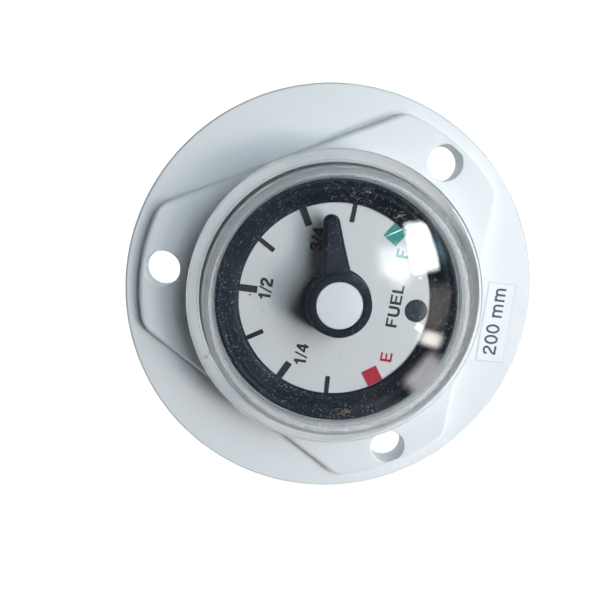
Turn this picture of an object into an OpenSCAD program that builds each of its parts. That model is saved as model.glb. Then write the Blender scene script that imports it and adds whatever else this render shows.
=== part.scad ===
// Fuel gauge for the top of a tank, read from above through a clear cap.
// A float slides on two rods and turns a twisted strip. A ring magnet on the strip
// turns a second magnet in the pointer's hub, through the closed wall of the head.
// Origin: centre of the bolt circle on the sealing face. +Z points up out of the tank,
// +Y points to the half mark of the dial and to one bolt hole.

/* [Flange] */
// Outer diameter of the round flange
flange_d = 90; // [88:0.5:110]
// Thickness of the flange
flange_t = 3; // [2.6:0.1:5]
// Rounding of the flange's outer edges
flange_edge = 0.6; // [0.2:0.1:1]
// Height of the triangular platform above the flange
platform_h = 2.4; // [1:0.1:4]
// Distance from the axis to each straight side of the platform
platform_side = 31.3; // [30.6:0.1:34]
// Material outside each bolt hole, out to the platform's corner arc
corner_land = 0.9; // [0.5:0.1:2]
// Diameter of the circle through the bolt holes
bolt_circle_d = 74; // [72:0.5:78]
// Diameter of each bolt hole
bolt_hole_d = 7.6; // [5.5:0.1:8.5]
// Diameter of the spigot that locates the gauge in the tank's opening
spigot_d = 54; // [53:0.5:55]
// Depth of the spigot below the sealing face
spigot_h = 6; // [5:0.5:12]
// Wall thickness of the spigot
spigot_wall = 2.4; // [1.6:0.1:2.6]
// Depth of the gasket's groove in the sealing face
gasket_t = 1.5; // [1:0.1:1.8]

/* [Tower] */
// Outer diameter of the tower
tower_d = 61; // [60.4:0.1:61]
// Height of the tower's top above the sealing face
tower_top = 9.6; // [9.2:0.1:12]
// Wall thickness of the tower
tower_wall = 2.8; // [2:0.1:3]
// Height of the closed inner wall's underside above the sealing face
web_under = 5.4; // [5.2:0.1:5.8]
// Thickness of the closed inner wall
web_t = 1.4; // [1.2:0.1:1.5]
// Radius of the fillet round the tower's foot
foot_fillet = 0.7; // [0.3:0.1:0.7]

/* [Lens] */
// Height of the lens rim above the tower
lens_rim_h = 2.6; // [1.6:0.1:4]
// Width of the lens rim, from its edge to the groove
lens_rim_w = 2.8; // [2.2:0.1:3.2]
// Wall thickness of the lens
lens_wall = 1.8; // [1.4:0.1:2]
// Outer radius of the lens's rounded shoulder
lens_shoulder = 6; // [4:0.5:9]
// Rise of the lens's crown above its shoulder
lens_crown = 2.4; // [0.5:0.1:3]
// Free height on the axis between the pointer's hub and the lens
lens_gap = 3.8; // [1.2:0.1:5]
// Thickness of the rubber ring under the lens
lens_seal_t = 1.2; // [0.8:0.1:1.5]

/* [Dial] */
// Width of the black ring, seen from above
bezel_w = 5; // [4:0.1:5.6]
// Thickness of the dial plate
dial_t = 0.6; // [0.4:0.1:1]
// Height of the dial's face above the inner wall
dial_rise = 3.2; // [3:0.1:3.6]
// Height of the black ring above the dial's face
bezel_h = 2.9; // [2:0.1:4]
// Angle between the empty and the full mark
scale_sweep = 248; // [180:1:270]
// Turn of the dial in its seat
dial_turn = 1.6; // [-5:0.1:5]
// Length of the scale's marks
tick_l = 3.7; // [2:0.05:4]
// Width of the quarter marks
quarter_tick_w = 1.45; // [0.8:0.05:1.6]
// Width of the eighth marks
eighth_tick_w = 0.95; // [0.4:0.05:1.2]
// Side of the red and green squares
square_w = 3.4; // [2:0.1:3.6]
// Diameter of the locating peg that shows in the dial
peg_d = 4.75; // [3:0.05:5]
// Distance from the black ring in to the locating peg's centre
peg_inset = 2.9; // [2.7:0.1:4]

/* [Pointer] */
// Level in the tank that the pointer shows, from 0 at empty to 1 at full
rest_level = 0.81; // [0.02:0.01:0.98]
// Free height between the dial and the pointer's hub
pointer_gap = 1.6; // [1.4:0.1:4]
// Height of the pointer's hub
hub_h = 6.2; // [6:0.1:10]
// Diameter of the hub's collar
hub_d = 14; // [13.6:0.1:16]
// Diameter of the hub's top
hub_top_d = 12.5; // [12:0.1:13]
// Diameter of the white disc in the hub
cap_d = 9.4; // [8:0.1:10]
// Distance from the black ring in to the pointer's tip, seen from above
tip_inset = 2.3; // [1:0.1:6]
// Width of the blade at its round tip
blade_tip_w = 2.9; // [1.5:0.1:4]
// Width of the blade at the hub
blade_root_w = 5.6; // [4.2:0.1:7]
// Height of the blade from its underside to its top
blade_h = 3.2; // [2:0.1:3.8]
// Diameter of the pin that the pointer turns on
pivot_d = 1.5; // [1:0.1:2]

/* [Cage] */
// Depth of the cage below the sealing face
stem_l = 200; // [120:5:400]
// Diameter of the guide rods
rod_d = 3; // [2.8:0.1:3.4]
// Distance of each guide rod from the axis
rod_r = 13; // [12.6:0.1:13.4]
// Thickness of the top plate
top_plate_t = 2; // [1.5:0.1:3]
// Thickness of the bottom plate
bottom_plate_t = 2.5; // [2:0.1:4]
// Diameter of the bottom plate
bottom_plate_d = 36; // [34:0.5:44]
// Thickness of the rubber stops on the rods
stop_t = 2; // [1:0.1:4]
// Distance of the cage screws from the axis
screw_r = 19.5; // [19:0.1:20]

/* [Strip] */
// Width of the twisted strip
strip_w = 6; // [4:0.1:6.4]
// Thickness of the twisted strip
strip_t = 0.8; // [0.5:0.1:1.2]
// Diameter of the strip's end pieces
strip_end_d = 6.4; // [6.2:0.1:7]
// Diameter of the drive magnet
drive_magnet_d = 14; // [12:0.5:15]

/* [Float] */
// Diameter of the float
float_d = 38; // [37:0.5:46]
// Height of the foam
float_h = 24; // [12:0.5:40]
// Thickness of the discs above and below the foam
float_disc_t = 1.5; // [1:0.1:3]
// Inner diameter of the float's centre tube
float_tube_d = 8.4; // [7.8:0.1:8.8]
// Wall thickness of the float's centre tube
float_tube_wall = 1.1; // [0.8:0.1:1.2]

/* [Hidden] */
$fn = 96;

// Clearances: a seat is a fit between fixed pieces, a run is a fit that turns or slides
seat = 0.1;
press = 0.01;
run = 0.05;
free = 0.5;
eps = 0.01;

// Counts and colours
bolts_n = 3;
eighths = 8;
white = [0.86, 0.88, 0.9];
black = [0.1, 0.11, 0.13];
brass = [0.78, 0.62, 0.32];
steel = [0.7, 0.71, 0.72];
natural = [0.88, 0.87, 0.82];
rubber = [0.08, 0.08, 0.08];
magnet = [0.25, 0.25, 0.26];

// Heights of the stack, from the sealing face up
platform_top = flange_t + platform_h;
web_top = web_under + web_t;
dial_top = web_top + dial_rise;
bezel_top = dial_top + bezel_h;
hub_bottom = dial_top + pointer_gap;
hub_top = hub_bottom + hub_h;
lens_seat = tower_top;
lens_rim_top = lens_seat + lens_rim_h;
lens_in_top = hub_top + lens_gap;
lens_foot = web_top + lens_seal_t;

// Radii of the head and the lens
flange_r = flange_d / 2;
tower_r = tower_d / 2;
tower_bore_r = tower_r - tower_wall;
spigot_r = spigot_d / 2;
spigot_bore_r = spigot_r - spigot_wall;
bolt_r = bolt_circle_d / 2;
platform_corner_r = bolt_r + bolt_hole_d / 2 + corner_land;
gasket_out_r = bolt_r - bolt_hole_d / 2 - 0.8;
gasket_in_r = spigot_r + 1;
lens_rim_r = tower_r + seat;
dome_foot_r = lens_rim_r - lens_rim_w;
groove_w = 0.5;
groove_depth = 0.6;
dome_r = dome_foot_r - groove_w;
lens_in_r = dome_r - lens_wall;
lens_skirt_r = tower_bore_r - seat;
lens_edge = 0.6;
shoulder_x = dome_r - lens_shoulder;
shoulder_in = max(lens_shoulder - lens_wall, 1);
shoulder_lean = atan(2 * lens_crown / (shoulder_x + lens_shoulder / 4));
crown_in_r = shoulder_x + shoulder_in * sin(shoulder_lean);
crown_out_r = shoulder_x + lens_shoulder * sin(shoulder_lean);
shoulder_z = lens_in_top - crown_rise(crown_in_r) - shoulder_in * cos(shoulder_lean);

// Dial, its carrier and the black ring
carrier_r = lens_in_r - 0.3;
carrier_floor_t = 1.4;
dial_seat = dial_top - dial_t;
dial_view_r = carrier_r - seat - bezel_w;
dial_r = dial_view_r + 2.2;
peg_r = dial_view_r - peg_inset;
boss_r = 2.5;
boss_top = dial_top + 1;
boss_hole_r = boss_r + 0.3;
bezel_foot = 0.9;
bezel_edge = 0.6;
bezel_lip = 0.7;
bezel_bead_r = 0.95;
bezel_bead_sink = 0.85;
print_t = 0.1;
tick_end_r = dial_view_r - 0.05;
tick_mid_r = tick_end_r - tick_l / 2;
scale_step = scale_sweep / eighths;
empty_angle = 90 + dial_turn + scale_sweep / 2;
rest_angle = empty_angle - rest_level * scale_sweep;

// Pointer
collar_h = 2;
hub_r = hub_d / 2;
hub_top_r = hub_top_d / 2;
cap_r = cap_d / 2;
cap_t = 0.7;
cap_recess = 1.2;
pivot_r = pivot_d / 2;
bearing_wall = 1;
bearing_r = pivot_r + run + bearing_wall;
bearing_roof = 0.6;
bearing_top = hub_top - cap_recess - 0.6;
bearing_bottom = hub_bottom + 0.6;
pivot_top = bearing_top - bearing_roof - 0.2;
pivot_bottom = web_top - 0.9;
magnet_pocket_r = 5.4;
magnet_rise = 3.4;
magnet_top = hub_bottom + magnet_rise;
magnet_h = 2.6;
blade_low = hub_bottom + 1;
blade_tip_r = blade_tip_w / 2;
blade_tip_x = dial_view_r - tip_inset - blade_tip_r;
blade_root_x = 4.8;
blade_lean = atan((blade_root_w / 2 - blade_tip_r) / (blade_tip_x - blade_root_x));

// Cage
top_plate_rise = 4;
top_plate_high = -spigot_h + top_plate_rise;
top_plate_low = top_plate_high - top_plate_t;
top_plate_r = spigot_bore_r - 0.4;
rod_rad = rod_d / 2;
rod_end_r = rod_rad - 0.3;
rod_end = 1.5;
nut_h = 2;
nut_r = 2.9;
rod_bottom = -stem_l;
lower_nut_low = rod_bottom + rod_end;
bottom_plate_low = lower_nut_low + nut_h;
bottom_plate_high = bottom_plate_low + bottom_plate_t;
stop_r = 3.5;
screw_shank_r = 1.45;
screw_head_r = 2.75;
screw_head_h = 1.9;
screw_boss_r = 3;
screw_depth = 5;
bush_flange_t = 0.8;

// Float and its travel
float_total_h = float_h + 2 * float_disc_t;
float_high_limit = top_plate_low - max(stop_t, screw_head_h) - free;
float_low_limit = bottom_plate_high + stop_t + free;
float_travel = float_high_limit - float_low_limit - float_total_h;
float_low = float_low_limit + rest_level * float_travel;
foam_low = float_low + float_disc_t;
foam_high = foam_low + float_h;
float_tube_r = float_tube_d / 2;
float_tube_out_r = float_tube_r + float_tube_wall;
disc_r = float_d / 2 - 2;
guide_bush_r = 3.2;
guide_bore_r = rod_rad + 0.15;

// Strip: it lies along X where the follower stands at rest
follower_t = 1.2;
follower_z = foam_low + float_h / 2;
slot_gap = 0.25;
strip_end_r = strip_end_d / 2;
strip_end_h = 7;
strip_tab_h = 3;
strip_tab_w = strip_w - 1;
twist_rate = scale_sweep / float_travel;
follower_high = float_high_limit - float_total_h / 2;
follower_low = float_low_limit + float_total_h / 2;
strip_margin = 4;
strip_high = follower_high + strip_margin;
strip_low = follower_low - strip_margin;
journal_r = 1.5;
foot_pivot_r = 1;

// Drive magnet and its holder
holder_wall = 1;
magnet_r = drive_magnet_d / 2;
holder_r = magnet_r + seat + holder_wall;
thrust_low = top_plate_high + bush_flange_t + 0.1;
thrust_t = 0.5;
holder_low = thrust_low + thrust_t + eps;
holder_floor_t = 1.2;
drive_magnet_low = holder_low + holder_floor_t;
drive_magnet_high = web_under - 1;
holder_nut_h = 1.4;

// Sticker, near the middle of the land between the platform and the flange's edge
label_l = 18.3;
label_w = 6.3;
label_t = 0.12;
label_x = -0.3;
label_offset = 0.15;
label_y = label_offset - (flange_r + platform_side) / 2;
label_turn = 2.7;

// Points along an arc
function arc(cx, cy, r, from, to, n) =
    [for (i = [0:n]) [cx + r * cos(from + (to - from) * i / n), cy + r * sin(from + (to - from) * i / n)]];

// A tube from a low to a high z
module tube(outer, inner, low, high) {
    translate([0, 0, low])
        difference() {
            cylinder(r = outer, h = high - low);
            translate([0, 0, -1])
                cylinder(r = inner, h = high - low + 2);
        }
}

// A round bar from a low to a high z
module bar(r, low, high) {
    translate([0, 0, low])
        cylinder(r = r, h = high - low);
}

// Copies round the axis at the three bolt positions
module at_corners(radius) {
    for (i = [0:bolts_n - 1])
        rotate([0, 0, 90 + i * 360 / bolts_n])
            translate([radius, 0, 0])
                children();
}

// Copies at the two guide rods
module at_rods() {
    for (side = [-1, 1])
        translate([side * rod_r, 0, 0])
            children();
}

// A hex nut from its underside up
module hex_nut(across_corners, hole, low, height) {
    translate([0, 0, low])
        difference() {
            cylinder(r = across_corners, h = height, $fn = 6);
            translate([0, 0, -1])
                cylinder(r = hole, h = height + 2);
        }
}

// The platform's outline: a triangle whose corners are cut by an arc
module platform_outline() {
    intersection() {
        circle(r = platform_corner_r);
        rotate([0, 0, 90])
            circle(r = 2 * platform_side, $fn = 3);
    }
}

// Head: flange, platform, tower, inner wall, spigot and bosses
module head() {
    color(white)
        difference() {
            union() {
                rotate_extrude()
                    polygon(concat(
                        [[0, 0], [flange_r - flange_edge / 2, 0], [flange_r, flange_edge / 2]],
                        arc(flange_r - flange_edge, flange_t - flange_edge, flange_edge, 0, 90, 6),
                        [[0, flange_t]]));
                bar(tower_r, 0, tower_top);
                translate([0, 0, flange_t - eps])
                    linear_extrude(platform_h + eps)
                        platform_outline();
                rotate_extrude()
                    polygon(concat(
                        [[tower_r - 1, platform_top - eps], [tower_r + foot_fillet, platform_top - eps]],
                        arc(tower_r + foot_fillet, platform_top + foot_fillet, foot_fillet, 270, 180, 6),
                        [[tower_r - 1, platform_top + foot_fillet]]));
                bar(spigot_r, -spigot_h, eps);
            }
            bar(spigot_bore_r, -spigot_h - 1, web_under);
            bar(tower_bore_r, web_top, tower_top + 1);
            tube(gasket_out_r, gasket_in_r, -1, gasket_t);
            at_corners(bolt_r)
                bar(bolt_hole_d / 2, -1, platform_top + 1);
            bar(pivot_r + press, pivot_bottom, boss_top + 1);
        }
    color(white)
        difference() {
            union() {
                bar(boss_r, web_top - eps, boss_top);
                at_corners(screw_r)
                    bar(screw_boss_r, top_plate_high, web_under + eps);
            }
            bar(pivot_r + press, pivot_bottom, boss_top + 1);
            at_corners(screw_r)
                bar(screw_shank_r + run, top_plate_high - 1, top_plate_high + screw_depth + 0.5);
        }
}

// Height of the lens's crown over its own edge
function crown_rise(edge) = edge * tan(shoulder_lean) / 2;

// A point of the lens's crown, highest on the axis
function crown_point(r, edge, z) = [r, z + crown_rise(edge) * (1 - r * r / (edge * edge))];

// Lens: rim, groove, wall, rounded shoulder and crown, with a skirt inside the tower
module lens() {
    steps = 6;
    edge_in_z = shoulder_z + shoulder_in * cos(shoulder_lean);
    edge_out_z = shoulder_z + lens_shoulder * cos(shoulder_lean);
    color([0.85, 0.9, 0.95, 0.35])
        rotate_extrude()
            polygon(concat(
                [for (i = [0:steps - 1]) crown_point(crown_in_r * i / steps, crown_in_r, edge_in_z)],
                arc(shoulder_x, shoulder_z, shoulder_in, 90 - shoulder_lean, 0, 8),
                [[lens_in_r, lens_foot], [lens_skirt_r, lens_foot], [lens_skirt_r, lens_seat],
                    [lens_rim_r, lens_seat]],
                arc(lens_rim_r - lens_edge, lens_rim_top - lens_edge, lens_edge, 0, 90, 6),
                [[dome_foot_r, lens_rim_top], [dome_foot_r - groove_w / 2, lens_rim_top - groove_depth],
                    [dome_r, lens_rim_top]],
                arc(shoulder_x, shoulder_z, lens_shoulder, 0, 90 - shoulder_lean, 10),
                [for (i = [steps - 1:-1:0]) crown_point(crown_out_r * i / steps, crown_out_r, edge_out_z)]));
}

// Rubber ring under the lens's skirt
module lens_seal() {
    color(rubber)
        tube(tower_bore_r - seat, lens_in_r + seat, web_top, lens_foot);
}

// Black sloping ring round the dial, with a bead half way up its slope
module bezel_ring() {
    outer = carrier_r - seat;
    bead_x = (dial_view_r + outer) / 2;
    slope_middle = (bezel_h + bezel_foot) / 2;
    bead_z = dial_top + max(bezel_bead_r + run, slope_middle - bezel_bead_sink);
    color(black)
        rotate_extrude() {
            polygon([[dial_view_r, dial_top], [outer, dial_top], [outer, bezel_top],
                [outer - bezel_lip, bezel_top], [dial_view_r + bezel_foot, dial_top + bezel_foot],
                [dial_view_r, dial_top + bezel_edge]]);
            translate([bead_x, bead_z])
                circle(r = bezel_bead_r, $fn = 48);
        }
}

// Pale dial sheet with holes for the boss and the peg
module dial_plate() {
    color([0.76, 0.78, 0.78])
        difference() {
            bar(dial_r, dial_seat, dial_top);
            bar(boss_hole_r, dial_seat - 1, dial_top + 1);
            peg_place()
                bar(peg_d / 2 + seat, dial_seat - 1, dial_top + 1);
        }
}

module peg_place() {
    rotate([0, 0, dial_turn - 90])
        translate([peg_r, 0, 0])
            children();
}

// A printed rectangle whose outer end touches the black ring
module mark(angle, width) {
    rotate([0, 0, angle])
        translate([tick_end_r - tick_l, -width / 2, dial_top])
            cube([tick_l, width, print_t]);
}

// Marks from one eighth to seven eighths, with broader quarter marks
module scale_ticks() {
    color(black)
        for (i = [1:eighths - 1])
            mark(empty_angle - i * scale_step, i % 2 == 0 ? quarter_tick_w : eighth_tick_w);
}

// A printed square at one end of the scale
module end_square(angle) {
    rotate([0, 0, angle])
        translate([tick_mid_r - square_w / 2, -square_w / 2, dial_top])
            cube([square_w, square_w, print_t]);
}

module empty_mark() {
    color([0.78, 0.12, 0.2])
        end_square(empty_angle);
}

module full_mark() {
    color([0.1, 0.6, 0.52])
        end_square(empty_angle - scale_sweep);
}

// Black moulding that carries the dial, with the peg that locates it
module dial_carrier() {
    color(black) {
        difference() {
            bar(carrier_r, web_top, dial_top);
            bar(boss_hole_r, web_top - 1, dial_top + 1);
            bar(dial_r + seat, dial_seat, dial_top + 1);
            tube(dial_r - 1.6, boss_hole_r + 2, web_top + carrier_floor_t, dial_top + 1);
        }
        peg_place()
            bar(peg_d / 2, web_top + carrier_floor_t - eps, dial_top + 0.15);
    }
}

// Sticker that gives the depth of the cage
module size_label() {
    color([0.93, 0.95, 0.96])
        translate([label_x, label_y, flange_t])
            rotate([0, 0, label_turn])
                translate([-label_l / 2, -label_w / 2, 0])
                    cube([label_l, label_w, label_t]);
}

// Rubber ring in the groove of the sealing face
module tank_gasket() {
    color(rubber)
        tube(gasket_out_r - seat, gasket_in_r + seat, 0, gasket_t);
}

// Pin that the pointer turns on, with a blunt point
module pointer_pivot() {
    point = 0.5;
    color(steel) {
        bar(pivot_r, pivot_bottom, pivot_top - point);
        translate([0, 0, pivot_top - point])
            cylinder(r1 = pivot_r, r2 = pivot_r / 3, h = point);
    }
}

// Pointer: hub with a collar, and a blade with a round tip
module pointer() {
    side_x = blade_tip_x + blade_tip_r * sin(blade_lean);
    side_y = blade_tip_r * cos(blade_lean);
    color(black)
        rotate([0, 0, rest_angle])
            difference() {
                union() {
                    bar(hub_r, hub_bottom, hub_bottom + collar_h);
                    translate([0, 0, hub_bottom + collar_h])
                        cylinder(r1 = hub_r - 0.25, r2 = hub_top_r, h = hub_h - collar_h);
                    translate([0, 0, blade_low])
                        linear_extrude(blade_h)
                            polygon([[blade_root_x, -blade_root_w / 2], [side_x, -side_y], [side_x, side_y],
                                [blade_root_x, blade_root_w / 2]]);
                    translate([blade_tip_x, 0, 0])
                        bar(blade_tip_r, blade_low, blade_low + blade_h);
                }
                bar(magnet_pocket_r, hub_bottom - 1, magnet_top);
                bar(bearing_r + press, hub_bottom, bearing_top + press);
                bar(cap_r + seat, hub_top - cap_recess, hub_top + 1);
            }
}

// White disc in the hub
module pointer_cap() {
    color([0.86, 0.87, 0.9])
        bar(cap_r, hub_top - cap_recess, hub_top - cap_recess + cap_t);
}

// Ring magnet in the hub
module pointer_magnet() {
    color(magnet)
        tube(magnet_pocket_r - run, bearing_r + seat, magnet_top - magnet_h, magnet_top);
}

// Cup bearing in the hub, closed at its top
module pointer_bearing() {
    color(brass)
        difference() {
            bar(bearing_r, bearing_bottom, bearing_top);
            bar(pivot_r + run, bearing_bottom - 1, bearing_top - bearing_roof);
        }
}

// Plate that closes the head from below and carries the cage
module top_plate() {
    color(natural)
        difference() {
            bar(top_plate_r, top_plate_low, top_plate_high);
            bar(strip_end_r + press, top_plate_low - 1, top_plate_high + 1);
            at_rods()
                bar(rod_end_r + run, top_plate_low - 1, top_plate_high + 1);
            at_corners(screw_r)
                bar(screw_shank_r + 0.25, top_plate_low - 1, top_plate_high + 1);
        }
}

// Three pan-head screws with hexagon sockets
module cage_screws() {
    socket_r = 1.3;
    color(steel)
        at_corners(screw_r)
            difference() {
                union() {
                    bar(screw_head_r, top_plate_low - screw_head_h, top_plate_low);
                    bar(screw_shank_r, top_plate_low - eps, top_plate_high + screw_depth);
                }
                translate([0, 0, top_plate_low - screw_head_h - 1])
                    cylinder(r = socket_r, h = 2, $fn = 6);
            }
}

// Two rods whose thinner ends pass through the plates
module guide_rods() {
    color(steel)
        at_rods() {
            bar(rod_rad, bottom_plate_high, top_plate_low);
            bar(rod_end_r, rod_bottom, bottom_plate_high + eps);
            bar(rod_end_r, top_plate_low - eps, top_plate_high + nut_h + rod_end);
        }
}

module upper_rod_nuts() {
    color(steel)
        at_rods()
            hex_nut(nut_r, rod_end_r + press, top_plate_high, nut_h);
}

module lower_rod_nuts() {
    color(steel)
        at_rods()
            hex_nut(nut_r, rod_end_r + press, lower_nut_low, nut_h);
}

// Foot of the cage, with drain holes
module bottom_plate() {
    drain_r = 2.5;
    color(natural)
        difference() {
            bar(bottom_plate_d / 2, bottom_plate_low, bottom_plate_high);
            bar(strip_end_r + press, bottom_plate_low - 1, bottom_plate_high + 1);
            at_rods()
                bar(rod_end_r + run, bottom_plate_low - 1, bottom_plate_high + 1);
            for (side = [-1, 1])
                translate([0, side * rod_r * 0.85, 0])
                    bar(drain_r, bottom_plate_low - 1, bottom_plate_high + 1);
        }
}

// Rubber washers that stop the float
module upper_stops() {
    color(rubber)
        at_rods()
            tube(stop_r, rod_rad + press, top_plate_low - stop_t, top_plate_low);
}

module lower_stops() {
    color(rubber)
        at_rods()
            tube(stop_r, rod_rad + press, bottom_plate_high, bottom_plate_high + stop_t);
}

// Flanged bush in the top plate
module upper_bearing() {
    color(natural)
        difference() {
            union() {
                bar(strip_end_r, top_plate_low - 1, top_plate_high);
                bar(strip_end_r + 1.2, top_plate_high, top_plate_high + bush_flange_t);
            }
            bar(journal_r + run, top_plate_low - 2, top_plate_high + 2);
        }
}

// Cup bush in the bottom plate
module lower_bearing() {
    color(natural)
        difference() {
            bar(strip_end_r, bottom_plate_low, bottom_plate_high + 1.2);
            bar(foot_pivot_r + run, bottom_plate_low + 0.6, bottom_plate_high + 2);
        }
}

// The angle of the strip at a height
function strip_angle(z) = twist_rate * (z - follower_z);

// A flat end of the strip, as wide as asked
module strip_tab(low, high, width, thickness, angle) {
    rotate([0, 0, angle])
        translate([-width / 2, -thickness / 2, low])
            cube([width, thickness, high - low]);
}

// Journal at the top of the strip, with a slot for its end
module strip_head() {
    color(brass)
        difference() {
            union() {
                bar(strip_end_r, strip_high, strip_high + strip_end_h);
                bar(journal_r, strip_high + strip_end_h - eps, drive_magnet_low + holder_nut_h + 0.6);
            }
            strip_tab(strip_high - 1, strip_high + strip_tab_h + seat, strip_tab_w + 2 * run, strip_t + 2 * run,
                strip_angle(strip_high));
        }
}

// The twisted strip with a straight tab at each end
module twisted_strip() {
    length = strip_high - strip_low;
    color(brass) {
        translate([0, 0, strip_low])
            rotate([0, 0, strip_angle(strip_low)])
                linear_extrude(height = length, twist = -twist_rate * length, slices = ceil(length / 2),
                    segments = 8)
                    square([strip_w, strip_t], center = true);
        strip_tab(strip_high - eps, strip_high + strip_tab_h, strip_tab_w, strip_t, strip_angle(strip_high));
        strip_tab(strip_low - strip_tab_h, strip_low + eps, strip_tab_w, strip_t, strip_angle(strip_low));
    }
}

// Pivot at the bottom of the strip, with a slot for its end
module strip_foot() {
    color(brass)
        difference() {
            union() {
                bar(strip_end_r, strip_low - strip_end_h, strip_low);
                bar(foot_pivot_r, bottom_plate_low + 0.7, strip_low - strip_end_h + eps);
            }
            strip_tab(strip_low - strip_tab_h - seat, strip_low + 1, strip_tab_w + 2 * run, strip_t + 2 * run,
                strip_angle(strip_low));
        }
}

// Washer that carries the turning parts on the upper bearing
module thrust_washer() {
    color(natural)
        tube(strip_end_r, journal_r + press, thrust_low, thrust_low + thrust_t);
}

// Cup that holds the drive magnet
module magnet_holder() {
    color(natural)
        difference() {
            bar(holder_r, holder_low, drive_magnet_high - 0.6);
            bar(magnet_r + seat, drive_magnet_low, drive_magnet_high);
            bar(journal_r + press, holder_low - 1, drive_magnet_low + 1);
        }
}

// Ring magnet below the inner wall
module drive_magnet() {
    color(magnet)
        tube(magnet_r, journal_r + 1.6, drive_magnet_low, drive_magnet_high);
}

// Nut that holds the cup on the journal
module holder_nut() {
    color(brass)
        hex_nut(journal_r + 1.2, journal_r + press, drive_magnet_low, holder_nut_h);
}

// Foam float with a centre hole and two rod holes
module float() {
    color([0.16, 0.16, 0.17])
        difference() {
            bar(float_d / 2, foam_low, foam_high);
            bar(float_tube_out_r + seat, foam_low - 1, foam_high + 1);
            at_rods()
                bar(guide_bush_r + seat, foam_low - 1, foam_high + 1);
        }
}

// Lower disc and centre tube of the float
module float_carrier() {
    color(natural)
        difference() {
            union() {
                bar(disc_r, float_low, foam_low);
                bar(float_tube_out_r, float_low, foam_high + float_disc_t);
            }
            bar(float_tube_r, float_low - 1, foam_high + float_disc_t + 1);
            at_rods()
                bar(guide_bush_r + press, float_low - 1, foam_low + 1);
        }
}

// Upper disc of the float
module float_cover() {
    color(natural)
        difference() {
            bar(disc_r, foam_high, foam_high + float_disc_t);
            bar(float_tube_out_r + press, foam_high - 1, foam_high + float_disc_t + 1);
            at_rods()
                bar(guide_bush_r + press, foam_high - 1, foam_high + float_disc_t + 1);
        }
}

// Bushes that slide on the rods
module guide_bushes() {
    color(natural)
        at_rods()
            tube(guide_bush_r, guide_bore_r, float_low, foam_high + float_disc_t);
}

// Slotted disc in the centre tube that turns the strip
module strip_follower() {
    color(natural)
        difference() {
            bar(float_tube_r - press, follower_z - follower_t / 2, follower_z + follower_t / 2);
            strip_tab(follower_z - follower_t, follower_z + follower_t, strip_w + 2 * slot_gap,
                strip_t + 2 * slot_gap, 0);
        }
}

head();
lens();
lens_seal();
bezel_ring();
dial_plate();
scale_ticks();
empty_mark();
full_mark();
dial_carrier();
size_label();
tank_gasket();
pointer_pivot();
pointer();
pointer_cap();
pointer_magnet();
pointer_bearing();
top_plate();
cage_screws();
guide_rods();
upper_rod_nuts();
lower_rod_nuts();
bottom_plate();
upper_stops();
lower_stops();
upper_bearing();
lower_bearing();
strip_head();
twisted_strip();
strip_foot();
thrust_washer();
magnet_holder();
drive_magnet();
holder_nut();
float();
float_carrier();
float_cover();
guide_bushes();
strip_follower();
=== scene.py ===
import bpy
import bmesh
import random
from math import atan, atan2, cos, degrees, hypot, pi, radians, sin, tan
from mathutils import Matrix, Vector
from mathutils.geometry import tessellate_polygon


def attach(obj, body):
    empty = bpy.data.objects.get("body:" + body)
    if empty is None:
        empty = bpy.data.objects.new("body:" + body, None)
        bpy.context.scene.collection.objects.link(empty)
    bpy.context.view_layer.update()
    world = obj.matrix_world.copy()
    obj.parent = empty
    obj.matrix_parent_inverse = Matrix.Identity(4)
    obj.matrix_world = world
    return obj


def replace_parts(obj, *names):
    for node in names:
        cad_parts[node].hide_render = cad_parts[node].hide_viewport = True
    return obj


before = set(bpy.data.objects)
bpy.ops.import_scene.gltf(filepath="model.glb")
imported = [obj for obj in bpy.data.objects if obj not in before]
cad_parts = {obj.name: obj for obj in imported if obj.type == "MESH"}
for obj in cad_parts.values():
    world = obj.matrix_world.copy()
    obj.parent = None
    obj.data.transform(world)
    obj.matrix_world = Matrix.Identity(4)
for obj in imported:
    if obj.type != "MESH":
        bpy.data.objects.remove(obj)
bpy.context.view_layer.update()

# Lengths are in millimetres until a mesh is made. The frame is the CAD's: +Z out of
# the tank, +Y to the half mark.
MM = 0.001
TAU = 2 * pi

# ---------------- sizes
FLANGE_R, FLANGE_T = 45, 3
PLATFORM_TOP, PLATFORM_SIDE, PLATFORM_R, PLATFORM_CORNER = 5.4, 31.3, 41.7, 1.3
PLATFORM_NORMALS = (30, 150, 270)
THIRDS = (90, 210, 330)
BOLT_R, BOLT_HOLE = 37, 3.8
TOWER_R, TOWER_BORE, TOWER_TOP, SEAT_LOW = 30.5, 27.7, 9.6, 8.1
GROOVE_OUT, GROOVE_IN, GROOVE_TOP = 32.4, 28, 1.5
SPIGOT_R, SPIGOT_BORE, SPIGOT_LOW = 27, 24.6, -6
WEB_LOW, WEB_TOP = 5.4, 6.8
PIN_R, PIN_BOSS_R, PIN_BOSS_LOW, PIN_BOSS_TOP = 0.76, 2.5, 6, 11
SCREW_AT, SCREW_BOSS_R, SCREW_BOSS_TOP = 19.5, 3, 5.6
DIAL_LOW, DIAL_TOP, DIAL_R, DIAL_BORE = 9.4, 10, 22.4, 2.8
BEZEL_TOP, BEZEL_R, DIAL_VIEW_R = 12.9, 25.4, 20.05
CARRIER_R, CARRIER_FLOOR = 25.2, 8.2
RIM_R, RIM_LOW, RIM_TOP, DOME_R, LENS_WALL = 30.85, 9.62, 12.2, 27.3, 1.8
SHOULDER, CROWN, APEX_IN = 6, 2.4, 21.6
HUB_LOW, HUB_TOP, HUB_R, HUB_SEAT, CAP_R = 11.6, 17.8, 7, 16.6, 4.7
BLADE_LOW, BLADE_TOP, BLADE_ROUND = 12.6, 15.8, 1.05
TIP_X, TIP_R, ROOT_X, ROOT_W = 16.2, 1.6, 5.45, 2.95
DIAL_TURN, SWEEP, REST_SHARE = 1.6, 248, 0.81
REST = 90 + DIAL_TURN + SWEEP / 2 - REST_SHARE * SWEEP
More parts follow.
